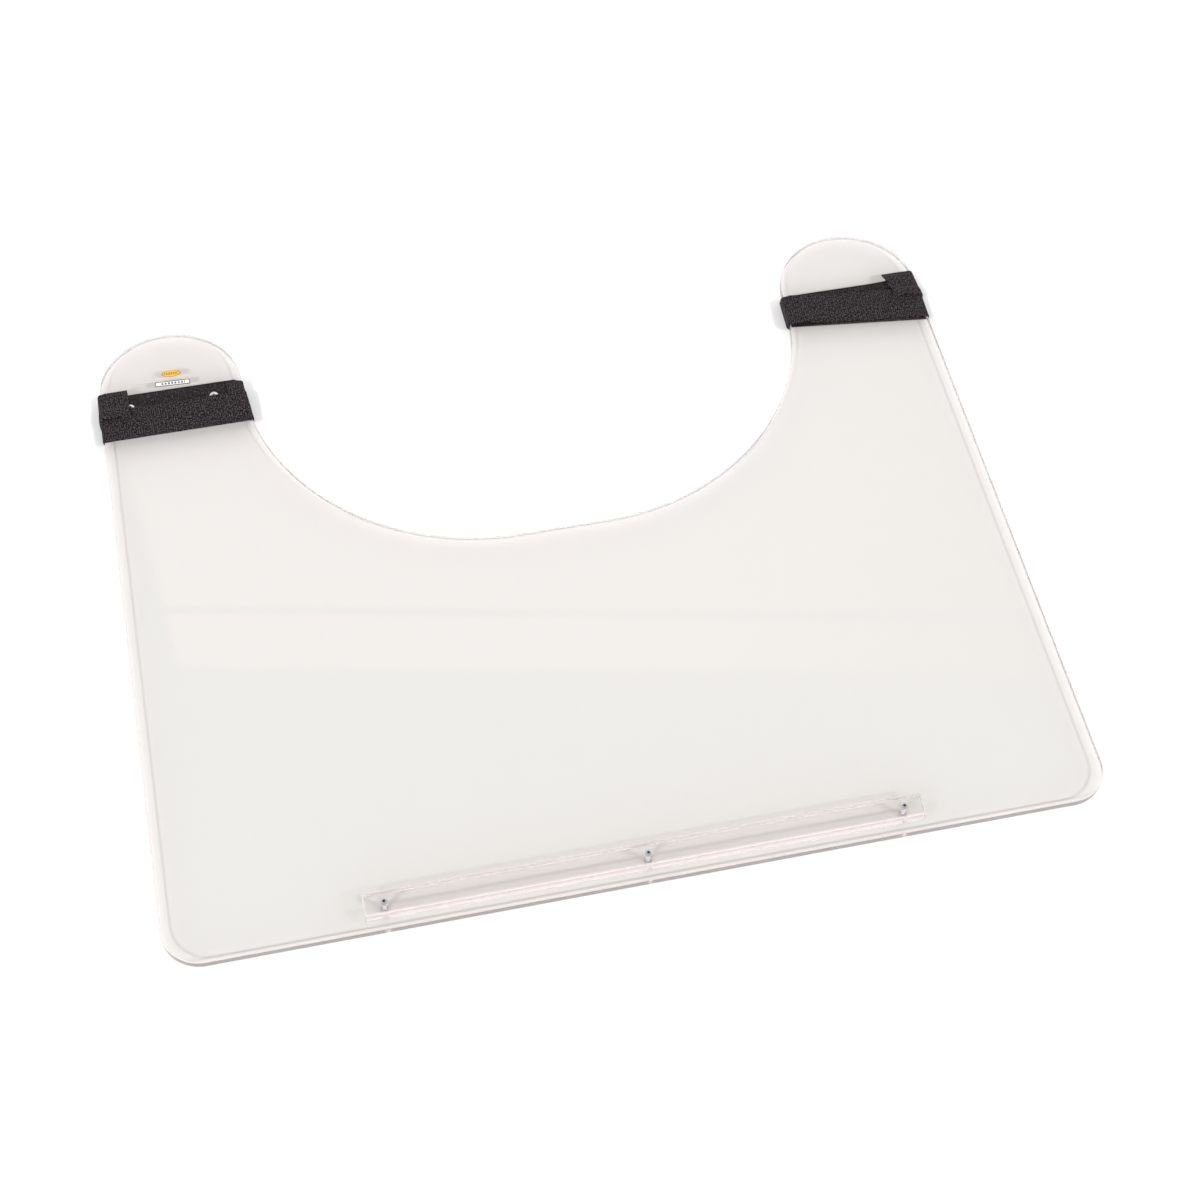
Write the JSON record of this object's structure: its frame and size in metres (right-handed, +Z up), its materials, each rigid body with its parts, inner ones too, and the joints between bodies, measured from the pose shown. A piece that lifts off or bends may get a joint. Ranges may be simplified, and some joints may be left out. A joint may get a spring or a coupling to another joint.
{
  "type": "wheelchair lap tray",
  "caption": "Clear U-shaped lap tray with a round body cut-out, a riveted front ledge and hook-and-loop straps wound round both arms.",
  "frame": {"origin": "under the middle of the overall box, on the surface that the tray lies on", "axes": "+X across the tray towards the right arm, +Y from the ledge edge towards the arm tips, +Z up"},
  "size_m": [0.6156, 0.5049, 0.0185],
  "materials": {
    "clear_sheet": "polished clear acrylic sheet",
    "clear_bar": "polished clear acrylic bar",
    "rivet_aluminium": "satin",
    "mandrel_steel": "satin",
    "hook_tape": "black woven tape with nylon hooks",
    "loop_strap": "charcoal napped loop webbing",
    "amber_label": "satin film label",
    "white_label": "satin film label"
  },
  "bodies": {
    "tray": {"tray_panel": "clear_sheet", "front_ledge": "clear_bar", "ledge_rivet_left": "rivet_aluminium", "ledge_rivet_middle": "rivet_aluminium", "ledge_rivet_right": "rivet_aluminium", "ledge_mandrel_left": "mandrel_steel", "ledge_mandrel_middle": "mandrel_steel", "ledge_mandrel_right": "mandrel_steel", "hook_strip_left": "hook_tape", "hook_strip_right": "hook_tape", "strap_rivet_left_outer": "rivet_aluminium", "strap_rivet_left_inner": "rivet_aluminium", "strap_rivet_right_inner": "rivet_aluminium", "strap_rivet_right_outer": "rivet_aluminium", "strap_mandrel_left_outer": "mandrel_steel", "strap_mandrel_left_inner": "mandrel_steel", "strap_mandrel_right_inner": "mandrel_steel", "strap_mandrel_right_outer": "mandrel_steel", "strap_band_left": "loop_strap", "strap_band_right": "loop_strap", "oval_label": "amber_label", "plate_label": "white_label"},
    "tab_left": {"strap_tab_left": "loop_strap"},
    "tab_right": {"strap_tab_right": "loop_strap"}
  },
  "joints": [
    {"name": "tab_left_peel", "type": "hinge", "parent": "tray", "child": "tab_left", "pos_m": [-0.3078, 0.1911, 0.0125], "axis": [0, -1, 0], "range_deg": [0, 150]},
    {"name": "tab_right_peel", "type": "hinge", "parent": "tray", "child": "tab_right", "pos_m": [0.3078, 0.1941, 0.0125], "axis": [0, 1, 0], "range_deg": [0, 150]}
  ]
}
